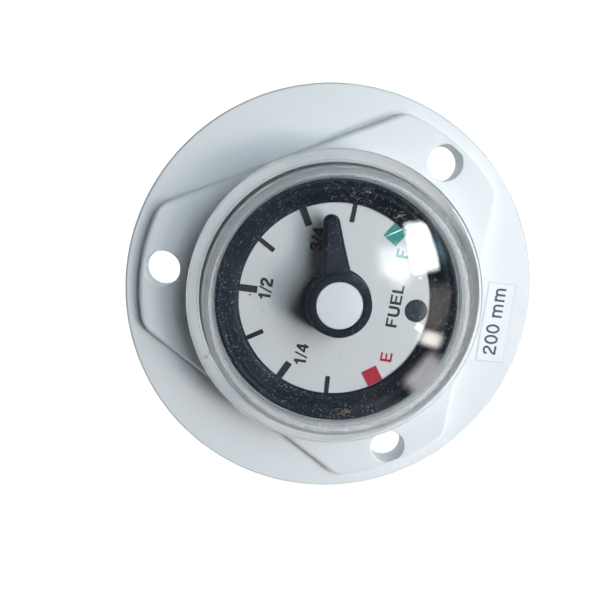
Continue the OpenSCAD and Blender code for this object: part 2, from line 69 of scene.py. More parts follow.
PEG_R, PEG_AT = 2.375, 17.2
LABEL_AT, LABEL_HALF, LABEL_TURN = (-0.3, -38), (9.15, 3.25), 2.7
# The cage: its two plates, the rods with their nuts and stops, and the float at rest
PLATE_LOW, PLATE_TOP, FOOT_LOW, FOOT_TOP = -4, -2, -196.5, -194
ROD_AT, ROD_R, ROD_END_R, ROD_LOW, ROD_TOP = 13, 1.5, 1.2, -200, 1.5
NUT_R, NUT_H, STOP_R, STOP_BORE, STOP_T = 2.9, 2, 3.5, 1.51, 2
HEAD_R, HEAD_LOW, SHANK_R, THREAD_R = 2.75, -5.9, 1.45, 1.25
DISC_LOW, FOAM_LOW, FOAM_TOP, DISC_TOP = -63.52, -62.02, -38.02, -36.52
STRIP_LOW, STRIP_TOP, STRIP_W, STRIP_T = -182, -16, 6, 0.8
FOLLOWER_Z, TRAVEL = -50.02, 158
FLOOR_Z = -200.6


# ---------------- node materials
class Nodes:
    """Short ways to add nodes to a tree."""

    def __init__(self, owner):
        owner.use_nodes = True
        self.tree = owner.node_tree

    def feed(self, socket, value):
        """Links the socket to a node or to its output, or else sets its value."""
        if isinstance(value, bpy.types.Node):
            value = value.outputs[0]
        if isinstance(value, bpy.types.NodeSocket):
            self.tree.links.new(value, socket)
        else:
            socket.default_value = (*value, 1) if socket.type == "RGBA" else value

    def add(self, kind, sockets=(), **settings):
        """A node with these settings, whose sockets, by name or number, are fed these values."""
        node = self.tree.nodes.new("ShaderNode" + kind)
        for key, value in settings.items():
            setattr(node, key, value)
        for key, value in dict(sockets).items():
            self.feed(node.inputs[key], value)
        return node

    def math(self, operation, *values):
        return self.add("Math", enumerate(values), operation=operation).outputs[0]

    def times(self, a, b):
        return self.math("MULTIPLY", a, b)

    def most(self, first, *others):
        """The largest of these values."""
        for other in others:
            first = self.math("MAXIMUM", first, other)
        return first

    def band(self, value, low, high, out_low=0, out_high=1):
        """Goes softly from out_low to out_high while the value goes from low to high."""
        sockets = {"Value": value, "From Min": low, "From Max": high, "To Min": out_low, "To Max": out_high}
        return self.add("MapRange", sockets, interpolation_type="SMOOTHSTEP").outputs["Result"]

    def split(self, vector):
        return self.add("SeparateXYZ", {0: vector}).outputs

    def blend(self, factor, a, b):
        """Shader a, with shader b taking its place by the factor."""
        return self.add("MixShader", {0: factor, 1: a, 2: b})

    def seen(self, share):
        """1 for rays from the camera, the share for those that gloss and clear parts send on, else 0."""
        path = self.add("LightPath").outputs
        passed_on = self.most(path["Is Glossy Ray"], path["Is Transmission Ray"])
        return self.most(path["Is Camera Ray"], self.times(passed_on, share))


class Paint(Nodes):
    """A node material built up in layers on one Principled shader."""

    def __init__(self, name, rough=0.5, metal=0, ior=1.5):
        self.mat = bpy.data.materials.new(name)
        super().__init__(self.mat)
        self.tree.nodes.clear()
        self.bsdf = self.add("BsdfPrincipled", {"Roughness": rough, "Metallic": metal, "IOR": ior})
        self.out = self.add("OutputMaterial", {"Surface": self.bsdf})
        self.coord = self.add("TexCoord").outputs["Object"]
        self.normal = None

    def set(self, name, value):
        self.feed(self.bsdf.inputs[name], value)

    def surface(self, shader):
        self.feed(self.out.inputs["Surface"], shader)

    def noise(self, scale, detail=3, rough=0.55, seed=0, stretch=None):
        vector = self.coord
        if stretch:
            vector = self.add("Mapping", {"Scale": stretch, "Vector": vector})
        sockets = {"Scale": scale, "Detail": detail, "Roughness": rough, "W": seed, "Vector": vector}
        return self.add("TexNoise", sockets, noise_dimensions="4D").outputs["Fac"]

    def flat(self):
        """The place seen along Z, in metres."""
        return self.add("VectorMath", {0: self.coord, 1: (1, 1, 0)}, operation="MULTIPLY")

    def spot(self, x, y, size):
        """A round spot of this radius at a place seen along Z, all in mm, with a soft edge."""
        away = self.add("VectorMath", {0: self.flat(), 1: (x * MM, y * MM, 0)}, operation="DISTANCE")
        return self.band(away.outputs["Value"], size * 0.35 * MM, size * MM, 1, 0)

    def radius(self):
        """Distance from the gauge's axis, in metres."""
        return self.add("VectorMath", {0: self.flat()}, operation="LENGTH").outputs["Value"]

    def beyond(self, low, high, inside=0, outside=1):
        """Goes from inside to outside between two radii in mm about the gauge's axis."""
        return self.band(self.radius(), low * MM, high * MM, inside, outside)

    def specks(self, spacing, radius, share, seed):
        """Round spots: one cell in every few carries a spot of about this radius, in mm."""
        place = {"Location": (seed * 0.137, seed * 0.071, seed * 0.053), "Vector": self.coord}
        cells = self.add("TexVoronoi", {"Scale": 1000 / spacing, "Vector": self.add("Mapping", place)})
        chance = self.add("SeparateColor", {0: cells.outputs["Color"]}).outputs
        size = self.math("MULTIPLY_ADD", chance[1], radius / spacing, 0.35 * radius / spacing)
        near = self.math("LESS_THAN", cells.outputs["Distance"], size)
        return self.times(self.math("LESS_THAN", chance[0], share), near)

    def mix(self, factor, a, b, blend="MIX"):
        return self.add("Mix", {0: factor, 6: a, 7: b}, data_type="RGBA", blend_type=blend).outputs[2]

    def cloud(self, scale, detail, rough, seed, low, high):
        """Soft patches of noise, 0 to 1."""
        return self.band(self.noise(scale, detail, rough, seed), low, high)

    def tint(self, colour):
        """Makes this the base colour."""
        self.base = colour
        self.set("Base Color", colour)

    def vary(self, colour, amount, scale):
        """A base colour with soft lighter and darker clouds of this scale."""
        dark = tuple(c * (1 - amount) for c in colour)
        light = tuple(min(c * (1 + amount), 1) for c in colour)
        self.tint(self.mix(self.cloud(scale, 3, 0.55, 1, 0.3, 0.7), dark, light))

    def over(self, mask, amount, colour, blend="MIX"):
        """Lays a colour over the base colour where the mask is, by the amount."""
        self.tint(self.mix(self.times(mask, amount), self.base, colour, blend))

    def rough(self, low, high, scale):
        self.set("Roughness", self.band(self.noise(scale, 4, seed=5), 0.3, 0.7, low, high))

    def bump(self, height, distance, strength):
        """Adds a bump of this height in mm to those before it."""
        sockets = {"Distance": distance * MM, "Strength": strength, "Height": height}
        if self.normal:
            sockets["Normal"] = self.normal
        self.normal = self.add("Bump", sockets).outputs[0]
        self.set("Normal", self.normal)

    def grain(self, scale, seed, distance, strength, detail=3):
        """A bump of noise."""
        self.bump(self.noise(scale, detail, seed=seed), distance, strength)


def white_plastic():
    p = Paint("moulded_white")
    p.vary((0.85, 0.875, 0.9), 0.012, 55)
    p.over(p.cloud(140, 5, 0.6, 2, 0.56, 0.82), 0.18, (0.8, 0.78, 0.73), "MULTIPLY")
    p.over(p.specks(2.6, 0.09, 0.05, 3), 0.5, (0.45, 0.42, 0.38))
    # Painted shade: the flange's rounded outer edge is darkened all round.
    p.over(p.beyond(FLANGE_R - 0.55, FLANGE_R - 0.2), 0.6, (0.72, 0.74, 0.75), "MULTIPLY")
    p.rough(0.36, 0.5, 260)
    p.grain(2600, 4, 0.006, 0.5)
    p.grain(120, 6, 0.03, 0.3, detail=2)
    return p.mat


def lens_plastic():
    """Clear moulding. Light reaches the dial through it, so it lets shadow rays pass."""
    p = Paint("clear_moulding", ior=1.49)
    p.set("Transmission Weight", 1)
    p.set("Base Color", (0.965, 0.98, 0.985))
    p.grain(160, 1, 0.004, 0.6, detail=2)
    # Turned lines over the wall and the rim, a frosted ring at the wall and a satin one on the rim; the lines' and the
    # satin's cover is painted shade on the -Y side.
    sockets = {"Scale": 1500, "Detail": 3, "W": p.radius()}
    lines = p.add("TexNoise", sockets, noise_dimensions="1D").outputs["Fac"]
    p.bump(p.times(lines, p.beyond(24.6, 25.6)), 0.02, 0.6)
    frosted = p.times(p.beyond(25.4, 25.6), p.beyond(27.9, 28.1, 1, 0))
    p.set("Roughness", p.math("ADD", p.times(frosted, 0.34), 0.015))
    # Painted shade: from Y = -12 mm to -24 mm the etched and satin cover falls to 0.42 of itself, so the rim and wall
    # read darker on the side towards the lamps.
    print_wear_and_rim_shade = p.band(p.split(p.coord)["Y"], -0.024, -0.012, 0.42, 1)
    etched_and_side_shade = p.times(p.band(lines, 0.3, 0.7, 0.3, 0.5), print_wear_and_rim_shade)
    satin_and_side_shade = p.times(p.times(p.beyond(28.4, 28.7), p.beyond(30.3, 30.8, 0.5, 0)), print_wear_and_rim_shade)
    # Dust, with three brown stains
    film = p.band(p.noise(90, 4, seed=2), 0.45, 0.8, 0.004, 0.03)
    cover = p.math("ADD", film, p.times(p.specks(1.4, 0.055, 0.12, 7), 0.55))
    stain = p.most(*(p.times(p.spot(x, y, size), p.cloud(scale, 3, 0.55, 11, 0.35, 0.6))
                     for x, y, size, scale in ((0.9, 26.5, 1.5, 700), (1.6, 26.2, 0.8, 900), (-15.7, 24.7, 0.7, 800))))
    cover = p.most(cover, p.times(stain, 0.6), p.times(frosted, etched_and_side_shade), satin_and_side_shade)
    tint = p.mix(stain, (0.82, 0.83, 0.84), (0.42, 0.33, 0.3))
    dust = p.add("BsdfDiffuse", {"Color": tint, "Normal": p.normal})
    milky = p.add("BsdfTranslucent", {"Color": (0.84, 0.91, 0.97)})
    surface = p.blend(cover, p.bsdf, p.blend(p.times(frosted, 0.6), dust, milky))
    # What diffuse and shadow rays meet is clear, but dark at the rim's wall and at grazing angles
    inward = p.add("NewGeometry").outputs["Backfacing"]
    wall = p.times(p.beyond(RIM_R - 0.25, RIM_R - 0.1), p.math("SUBTRACT", 1, p.times(inward, 0.14)))
    grazed = p.band(p.add("LayerWeight").outputs["Facing"], 0.5, 0.85)
    passed = p.mix(p.most(wall, grazed), (0.985, 0.99, 0.992), (0.06, 0.06, 0.065))
    clear = p.add("BsdfTransparent", {"Color": passed})
    ray = p.add("LightPath").outputs
    for kind in ("Is Diffuse Ray", "Is Shadow Ray"):
        surface = p.blend(ray[kind], surface, clear)
    p.surface(surface)
    return p.mat


def black_plastic(name, colour, dust=1, rough=(0.38, 0.55)):
    """Dust lies on it as fine and coarse specks, and as a thin haze."""
    p = Paint(name)
    p.set("Specular IOR Level", 0.24)
    p.vary(colour, 0.14, 180)
    fine = p.times(p.specks(0.36, 0.115, 0.4, 2), p.cloud(170, 3, 0.55, 8, 0.36, 0.62))
    p.over(fine, 0.5 * dust, (0.4, 0.43, 0.46))
    p.over(p.specks(1.1, 0.13, 0.24, 5), 0.34 * dust, (0.5, 0.52, 0.54))
    p.over(p.specks(2.7, 0.2, 0.25, 9), 0.6 * dust, (0.6, 0.6, 0.6))
    p.over(p.cloud(420, 6, 0.7, 9, 0.5, 0.85), 0.012 * dust, (0.4, 0.41, 0.43))
    p.rough(*rough, 300)
    p.grain(1900, 3, 0.012, 0.6)
    return p.mat


def dial_paint():
    p = Paint("dial_silver")
    p.vary((0.77, 0.765, 0.77), 0.015, 45)
    p.over(p.cloud(5200, 2, 0.55, 2, 0.3, 0.7), 0.12, (0.5, 0.52, 0.52))
    p.over(p.specks(0.8, 0.06, 0.07, 4), 0.35, (0.2, 0.19, 0.17))
    p.over(p.specks(2.4, 0.12, 0.05, 6), 0.85, (0.08, 0.07, 0.06))
    for x, y, size in ((-1.76, 17.66, 0.3), (-4.59, 14.56, 0.17), (-11.8, -3.1, 0.15), (-9.4, 9.2, 0.13)):
        p.tint(p.mix(p.spot(x, y, size), p.base, (0.04, 0.035, 0.03)))
    p.rough(0.34, 0.48, 500)
    p.grain(4200, 3, 0.006, 0.5, detail=2)
    return p.mat


def ink(name, colour, print_wear_and_rim_shade):
    p = Paint(name, rough=0.45)
    p.vary(colour, 0.1, 900)
    p.over(p.cloud(5200, 4, 0.7, 2, 0.62, 0.8), print_wear_and_rim_shade, (0.5, 0.51, 0.5))
    p.grain(4200, 3, 0.004, 0.5, detail=2)
    return p.mat


def cap_white():
    p = Paint("cap_white")
    p.vary((0.86, 0.87, 0.9), 0.01, 130)
    p.over(p.specks(1.1, 0.05, 0.1, 2), 0.3, (0.5, 0.45, 0.42))
    p.rough(0.4, 0.55, 400)
    p.grain(3000, 3, 0.006, 0.5)
    return p.mat


def sticker():
    """Film whose edge is painted a little darker, as shade."""
    p = Paint("sticker_film", rough=0.28)
    p.vary((0.88, 0.9, 0.92), 0.012, 120)
    p.over(p.specks(1.8, 0.07, 0.08, 2), 0.4, (0.5, 0.48, 0.45))
    sockets = {"Location": (LABEL_AT[0] * MM, LABEL_AT[1] * MM, 0),
               "Rotation": (0, 0, radians(LABEL_TURN)), "Vector": p.coord}
    place = p.split(p.add("Mapping", sockets, vector_type="TEXTURE"))
    # Painted shade: the film darkens along its border, from 0.42 to 0.12 mm in from the edge.
    edge = p.most(*(p.band(p.math("ABSOLUTE", place[axis]), (half - 0.42) * MM, (half - 0.12) * MM)
                    for axis, half in enumerate(LABEL_HALF)))
    p.over(edge, 0.55, (0.6, 0.61, 0.62))
    p.grain(350, 3, 0.015, 0.5)
    return p.mat


def natural_plastic(name, colour):
    p = Paint(name)
    p.vary(colour, 0.03, 90)
    p.over(p.cloud(60, 5, 0.65, 2, 0.55, 0.85), 0.25, (0.72, 0.66, 0.5), "MULTIPLY")
    p.rough(0.3, 0.46, 300)
    p.grain(1500, 3, 0.01, 0.5)
    return p.mat


def metal(name, colour, rough, along, seed):
    """Drawn or rolled metal. Its fine lines run along Z, where the noise is scaled by along."""
    p = Paint(name, metal=1)
    lines = p.noise(900, 4, 0.7, seed, (1, 1, along))
    p.tint(p.mix(p.band(lines, 0.3, 0.7), tuple(c * 0.86 for c in colour), colour))
    p.over(p.cloud(130, 5, 0.6, seed + 3, 0.5, 0.85), 0.35, tuple(c * 0.55 for c in colour))
    p.set("Roughness", p.band(lines, 0.3, 0.7, rough * 0.75, rough * 1.35))
    p.bump(lines, 0.01, 0.35)
    return p.mat


def ferrite():
    p = Paint("ferrite_magnet", ior=1.9)
    p.vary((0.055, 0.055, 0.06), 0.3, 1400)
    p.grain(2400, 2, 0.02, 0.6, detail=4)
    return p.mat


def rubber():
    p = Paint("black_rubber", rough=0.7)
    p.vary((0.024, 0.024, 0.026), 0.25, 300)
    p.over(p.cloud(700, 5, 0.55, 2, 0.6, 0.9), 0.15, (0.3, 0.3, 0.3))
    p.grain(2600, 3, 0.02, 0.6)
    return p.mat


def foam():
    """Closed-cell foam: a skin of fine pits."""
    p = Paint("closed_cell_foam", rough=0.8)
    cells = p.add("TexVoronoi", {"Scale": 1900, "Vector": p.coord})
    pits = p.band(cells.outputs["Distance"], 0.1, 0.6)
    # Painted shade: the pits are coloured darker than the skin between them.
    p.tint(p.mix(pits, (0.022, 0.022, 0.024), (0.075, 0.075, 0.08)))
    p.over(p.cloud(260, 5, 0.55, 2, 0.58, 0.85), 0.3, (0.2, 0.19, 0.17))
    p.bump(pits, 0.08, 0.8)
    p.grain(220, 4, 0.08, 0.4)
    return p.mat


def fibre(name, colour):
    p = Paint(name, rough=0.6)
    p.vary(colour, 0.25, 1500)
    return p.mat


WHITE = white_plastic()
CLEAR = lens_plastic()
BLACK = black_plastic("moulded_black", (0.004, 0.0105, 0.0195))
PEG_BLACK = black_plastic("peg_black", (0.022, 0.034, 0.05), 1.5)
POINTER_BLACK = black_plastic("pointer_black", (0.0015, 0.0075, 0.018), 0.45, (0.42, 0.6))
DIAL = dial_paint()
INK_BLACK = ink("ink_black", (0.012, 0.016, 0.022), 0.12)
INK_RED = ink("ink_red", (0.52, 0.004, 0.03), 0.05)
INK_GREEN = ink("ink_green", (0, 0.29, 0.26), 0.05)
INK_SLATE = ink("ink_slate", (0.055, 0.085, 0.11), 0.2)
CAP = cap_white()
STICKER = sticker()
NATURAL = natural_plastic("natural_moulding", (0.8, 0.79, 0.73))
BEARING = natural_plastic("bearing_plastic_white", (0.84, 0.84, 0.82))
STEEL_ROD = metal("drawn_steel", (0.66, 0.67, 0.68), 0.26, 0.06, 0)
STEEL = metal("bright_steel", (0.64, 0.65, 0.66), 0.3, 1, 4)
BRASS = metal("rolled_brass", (0.78, 0.58, 0.26), 0.28, 0.08, 7)
FERRITE = ferrite()
RUBBER = rubber()
FOAM = foam()
PALE = fibre("lint_pale", (0.36, 0.39, 0.42))
TAN = fibre("lint_tan", (0.5, 0.34, 0.26))


# ---------------- outlines
def polar(radius, angle, centre=(0, 0)):
    """The place at this distance and this angle in degrees from the centre."""
    a = radians(angle)
    return (centre[0] + radius * cos(a), centre[1] + radius * sin(a))


def spun(x, y, angle, centre=(0, 0)):
    """A place turned about the origin by an angle in radians, then moved to the centre."""
    return (centre[0] + x * cos(angle) - y * sin(angle),
            centre[1] + x * sin(angle) + y * cos(angle))


def circle(r, z, count, centre=(0, 0), phase=0):
    """Points round a circle, moved on by phase, a share of the distance between two."""
    angles = [TAU * (i + phase) / count for i in range(count)]
    return [(centre[0] + r * cos(a), centre[1] + r * sin(a), z) for a in angles]


def arc(cx, cy, radius, start, end, steps):
    return [polar(radius, start + (end - start) * i / steps, (cx, cy)) for i in range(steps + 1)]


def quarter(radius, steps):
    """A quarter round from (radius, 0) to (0, radius), hollow towards (radius, radius)."""
    angles = [radians(90 * i / steps) for i in range(steps + 1)]
    return [(radius * (1 - sin(t)), radius * (1 - cos(t))) for t in angles]


def box(half_x, half_y, corner, steps):
    """A rectangle's outline with round corners."""
    x, y = half_x - corner, half_y - corner
    outline = []
    for cx, cy, start in ((x, y, 0), (-x, y, 90), (-x, -y, 180), (x, -y, 270)):
        outline += arc(cx, cy, corner, start, start + 90, steps)
    return outline


def tube(inner, outer, low, high, edges):
    """Corners for rounded: a tube's four, with the edge radii from its low inside to its high inside."""
    places = ((inner, low), (outer, low), (outer, high), (inner, high))
    return [(*place, edge) for place, edge in zip(places, edges)]


def rounded(corners, steps, closed=True):
    """An (r, z) outline whose corners, given as (r, z, radius), are rounded."""
    out = []
    last = len(corners) - 1
    for i, (x, y, radius) in enumerate(corners):
        if radius <= 0 or (not closed and i in (0, last)):
            out.append((x, y))
            continue
        here = Vector((x, y))
        a = (Vector(corners[i - 1][:2]) - here).normalized()
        b = (Vector(corners[(i + 1) % len(corners)][:2]) - here).normalized()
        half = a.angle(b) / 2
        centre = here + (a + b).normalized() * (radius / sin(half))
        start = here + a * (radius / tan(half)) - centre
        end = here + b * (radius / tan(half)) - centre
        first = atan2(start.y, start.x)
        turn = (atan2(end.y, end.x) - first + pi) % TAU - pi
        for k in range(steps + 1):
            angle = first + turn * k / steps
            out.append((centre.x + radius * cos(angle), centre.y + radius * sin(angle)))
    return out


# ---------------- mesh building
def add_object(name, data):
    made = bpy.data.objects.new(name, data)
    bpy.context.scene.collection.objects.link(made)
    return made


class Shell:
    """Points in mm and the faces between them."""

    def __init__(self):
        self.points = []
        self.faces = []

    def ring(self, points):
        """Adds the points, and gives their numbers."""
        first = len(self.points)
        self.points.extend(points)
        return list(range(first, len(self.points)))

    def turned(self, profile, count, centre=(0, 0)):
        """A ring for each (r, z) of a profile, or a single point where r is 0."""
        return [self.ring(circle(r, z, count, centre) if r > 1e-6 else [(*centre, z)]) for r, z in profile]

    def join(self, a, b):
        """Quads between two closed rings, or triangles where one is a single point."""
        count = max(len(a), len(b))
        for i in range(count):
            j = (i + 1) % count
            corners = [a[i % len(a)], a[j % len(a)], b[j % len(b)], b[i % len(b)]]
            face = []
            for corner in corners:
                if corner not in face:
                    face.append(corner)
            if len(face) > 2:
                self.faces.append(tuple(face))

    def chain(self, rings):
        """Joins each ring to the next."""
        for a, b in zip(rings, rings[1:]):
            self.join(a, b)

    def fill(self, *loops):
        """Triangles over a flat area whose first loop is its outline and the rest its holes."""
        order = [index for loop in loops for index in loop]
        flat = [[Vector((self.points[i][0], self.points[i][1], 0)) for i in loop] for loop in loops]
        for triangle in tessellate_polygon(flat):
            self.faces.append(tuple(order[i] for i in triangle))

    def bar(self, rings):
        """Joins each ring to the next, with one face over each end."""
        self.chain(rings)
        self.faces += [tuple(rings[0]), tuple(reversed(rings[-1]))]

    def revolve(self, profile, count, centre=(0, 0), closed=False):
        """A solid of revolution. A closed profile ends where it began."""
        rings = self.turned(profile, count, centre)
        self.chain(rings + rings[:1] if closed else rings)

    def lathe(self, corners, steps, count, centre=(0, 0)):
        """A ring-shaped solid whose closed profile has round corners."""
        self.revolve(rounded(corners, steps), count, centre, closed=True)

    def bore(self, profile, count, centre=(0, 0)):
        """A wall through a plate. Gives its first and its last ring."""
        rings = self.turned(profile, count, centre)
        self.chain(rings)
        return rings[0], rings[-1]

    def faces_over(self, walls):
        """Flat faces over both ends of these walls, the first of which is the outer one."""
        for loops in zip(*walls):
            self.fill(*loops)

    def make(self, name, body, slot, material, sharp=32, weight=True):
        mesh = bpy.data.meshes.new(name)
        mesh.from_pydata([(x * MM, y * MM, z * MM) for x, y, z in self.points], [], self.faces)
        work = bmesh.new()
        work.from_mesh(mesh)
        bmesh.ops.remove_doubles(work, verts=work.verts, dist=1e-8)
        bmesh.ops.recalc_face_normals(work, faces=work.faces)
        work.to_mesh(mesh)
        work.free()
        mesh.shade_smooth()
        mesh.set_sharp_from_angle(angle=radians(sharp))
        mesh.materials.append(material)
        piece = add_object(name, mesh)
        if weight:
            normals = piece.modifiers.new("flat_faces_first", "WEIGHTED_NORMAL")
            normals.keep_sharp = True
            normals.weight = 90
        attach(piece, body)
        return piece


# ---------------- head moulding
ROUND = 540


def platform_edge(angle, inset):
    """Distance from the axis to the platform's outline at an angle, moved in by inset."""
    soft = max(PLATFORM_CORNER - inset, 0.05)

    def field(r):
        """Below 0 inside the outline: a disc and three sides, with soft corners between them."""
        x, y = r * cos(angle), r * sin(angle)
        disc = r - (PLATFORM_R - inset)
        side = max(x * cos(radians(n)) + y * sin(radians(n)) for n in PLATFORM_NORMALS)
        side -= PLATFORM_SIDE - inset
        return hypot(max(disc + soft, 0), max(side + soft, 0)) - soft + min(max(disc, side) + soft, 0)

    low, high = 20, 50
    for _ in range(40):
        middle = (low + high) / 2
        low, high = (low, middle) if field(middle) > 0 else (middle, high)
    return low


def platform_loop(inset, z):
    angles = [TAU * i / ROUND for i in range(ROUND)]
    reach = [max(platform_edge(angle, inset), TOWER_R + 0.75) for angle in angles]
    return [(r * cos(a), r * sin(a), z) for r, a in zip(reach, angles)]


# One closed skin: flange, platform, tower and inside, and the underside with its groove and spigot. The pin's and
# the screws' bosses are closed solids that stand in it.
shell = Shell()
flange = shell.turned(rounded([(GROOVE_OUT, 0, 0), (FLANGE_R, 0, 0.3), (FLANGE_R, FLANGE_T, 0.6), (43.5, FLANGE_T, 0)],
                              6, closed=False), ROUND)
underside = flange.pop(0)
shell.chain(flange)
levels = [(-a, FLANGE_T + b) for a, b in quarter(0.5, 4)] + [(b, PLATFORM_TOP - a) for a, b in quarter(1.1, 6)]
platform = [shell.ring(platform_loop(inset, z)) for inset, z in levels]
shell.fill(flange[-1], platform[0])
shell.chain(platform)
tower = rounded([
    (TOWER_R + 1.5, PLATFORM_TOP, 0), (TOWER_R, PLATFORM_TOP, 0.7), (TOWER_R, TOWER_TOP, 0.1), (30.2, TOWER_TOP, 0),
    (TOWER_BORE, SEAT_LOW, 0.2), (TOWER_BORE, WEB_TOP, 0.3), (0, WEB_TOP, 0)], 5, closed=False)[1:]
tower_foot = shell.turned(tower[:1], ROUND)
edge = quarter(0.25, 4)
wall = [(BOLT_HOLE + a, PLATFORM_TOP - b) for a, b in edge] + [(BOLT_HOLE + b, a) for a, b in edge]
holes = [shell.bore(wall, 96, polar(BOLT_R, angle)) for angle in THIRDS]
shell.fill(platform[-1], *tower_foot, *(top for top, _ in holes))
shell.fill(flange[0], underside, *(low for _, low in holes))
shell.chain(tower_foot + shell.turned(tower[1:], ROUND))
inside = rounded([
    (GROOVE_OUT, 0, 0), (GROOVE_OUT, GROOVE_TOP, 0.2), (GROOVE_IN, GROOVE_TOP, 0.2), (GROOVE_IN, 0, 0.1),
    (SPIGOT_R, 0, 0.1), (SPIGOT_R, SPIGOT_LOW, 0.5), (SPIGOT_BORE, SPIGOT_LOW, 0.5), (SPIGOT_BORE, WEB_LOW, 0.5),
    (0, WEB_LOW, 0)], 4, closed=False)
shell.chain([underside] + shell.turned(inside[1:], ROUND))
shell.lathe(tube(PIN_R, PIN_BOSS_R, PIN_BOSS_LOW, PIN_BOSS_TOP, (0, 0, 0.2, 0.1)), 3, 48)
for angle in THIRDS:
    shell.lathe(tube(1.5, SCREW_BOSS_R, PLATE_TOP, SCREW_BOSS_TOP, (0.1, 0.2, 0, 0)), 3, 40,
                polar(SCREW_AT, angle))
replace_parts(shell.make("head_moulding", "housing", "white_plastic", WHITE), "head")


# ---------------- lens and dial
def lens_profile():
    """From the top of the inside, down and out round the rim, and back over the outside."""
    shoulder_x = DOME_R - SHOULDER
    inner = SHOULDER - LENS_WALL
    lean = atan(2 * CROWN / (shoulder_x + SHOULDER / 4))
    r_in = shoulder_x + inner * sin(lean)
    r_out = shoulder_x + SHOULDER * sin(lean)
    rise_in, rise_out = r_in * tan(lean) / 2, r_out * tan(lean) / 2
    z_in = APEX_IN - rise_in
    centre = z_in - inner * cos(lean)
    z_out = centre + SHOULDER * cos(lean)
    slope = 90 - degrees(lean)

    def crown(r, z, rise):
        return [(r * i / 14, z + rise * (1 - (i / 14) ** 2)) for i in range(14)]

    bore = DOME_R - LENS_WALL
    rim = rounded([
        (bore, 9, 0), (bore, 8, 0.15), (27.6, 8, 0.15), (27.6, RIM_LOW, 0.05), (RIM_R, RIM_LOW, 0.15),
        (RIM_R, RIM_TOP, 0.7), (28.45, RIM_TOP, 0.15), (28.15, RIM_TOP - 0.4, 0.08), (27.85, RIM_TOP - 0.05, 0.12),
        (DOME_R, RIM_TOP + 0.9, 0.3), (DOME_R, RIM_TOP + 1.4, 0)], 6, closed=False)[1:-1]
    inside = crown(r_in, z_in, rise_in) + arc(shoulder_x, centre, inner, slope, 0, 16)
    outside = arc(shoulder_x, centre, SHOULDER, 0, slope, 22) + crown(r_out, z_out, rise_out)[::-1]
    return inside + rim + outside


lens = Shell()
lens.revolve(lens_profile(), 256)
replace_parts(lens.make("lens_moulding", "housing", "clear_plastic", CLEAR, sharp=40, weight=False), "lens")

bezel = Shell()
bezel.lathe([(DIAL_VIEW_R, DIAL_TOP, 0), (BEZEL_R, DIAL_TOP, 0), (BEZEL_R, BEZEL_TOP, 0.15), (24.5, BEZEL_TOP, 0.25),
             (23.6, 12.4, 0.5), (22.75, 12.35, 0.5), (21.6, 11.35, 0.5), (21, 10.95, 0.3), (20.35, 10.75, 0.25),
             (DIAL_VIEW_R, 10.4, 0.1)], 6, 256)
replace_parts(bezel.make("bezel_moulding", "housing", "black_plastic", BLACK), "bezel_ring")

PEG = polar(PEG_AT, DIAL_TURN - 90)
sheet = Shell()
sheet.faces_over([sheet.bore([(r, DIAL_LOW), (r, DIAL_TOP - 0.05), (r + chamfer, DIAL_TOP)], count, centre)
                  for r, chamfer, count, centre in ((DIAL_R, -0.05, 240, (0, 0)), (DIAL_BORE, 0.05, 64, (0, 0)),
                                                    (PEG_R + 0.06, 0, 64, PEG))])
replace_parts(sheet.make("dial_sheet_printed", "housing", "dial_sheet", DIAL), "dial_plate")

carrier = Shell()
carrier.lathe([(DIAL_BORE, WEB_TOP, 0.2), (CARRIER_R, WEB_TOP, 0.3), (CARRIER_R, DIAL_TOP, 0.1), (22.5, DIAL_TOP, 0),
               (22.5, DIAL_LOW, 0), (20.8, DIAL_LOW, 0.1), (20.8, CARRIER_FLOOR, 0.3), (4.8, CARRIER_FLOOR, 0.3),
               (4.8, DIAL_LOW, 0.1), (DIAL_BORE, DIAL_LOW, 0.1)], 3, 160)
carrier.revolve(rounded(tube(0, PEG_R, 8.1, DIAL_TOP + 0.15, (0, 0, 0.12, 0)), 4, closed=False), 64, PEG)
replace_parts(carrier.make("carrier_moulding", "housing", "black_plastic", PEG_BLACK), "dial_carrier")

# ---------------- printed lettering
BOLD, BAR, THIN = 0.225, 0.165, 0.155
STEM = (BOLD, [(0.185, 0), (0.185, 1)])
DIGIT = 0.775


def level(width, y, start, end):
    return (width, [(start, y), (end, y)])


def arch(x):
    """One hump of the letter m, from its left stem to the foot of the next."""
    return (0.15, [(x, 0.45), (x + 0.035, 0.58), (x + 0.125, 0.66), (x + 0.245, 0.66), (x + 0.355, 0.6),
                   (x + 0.4, 0.46), (x + 0.4, 0)])


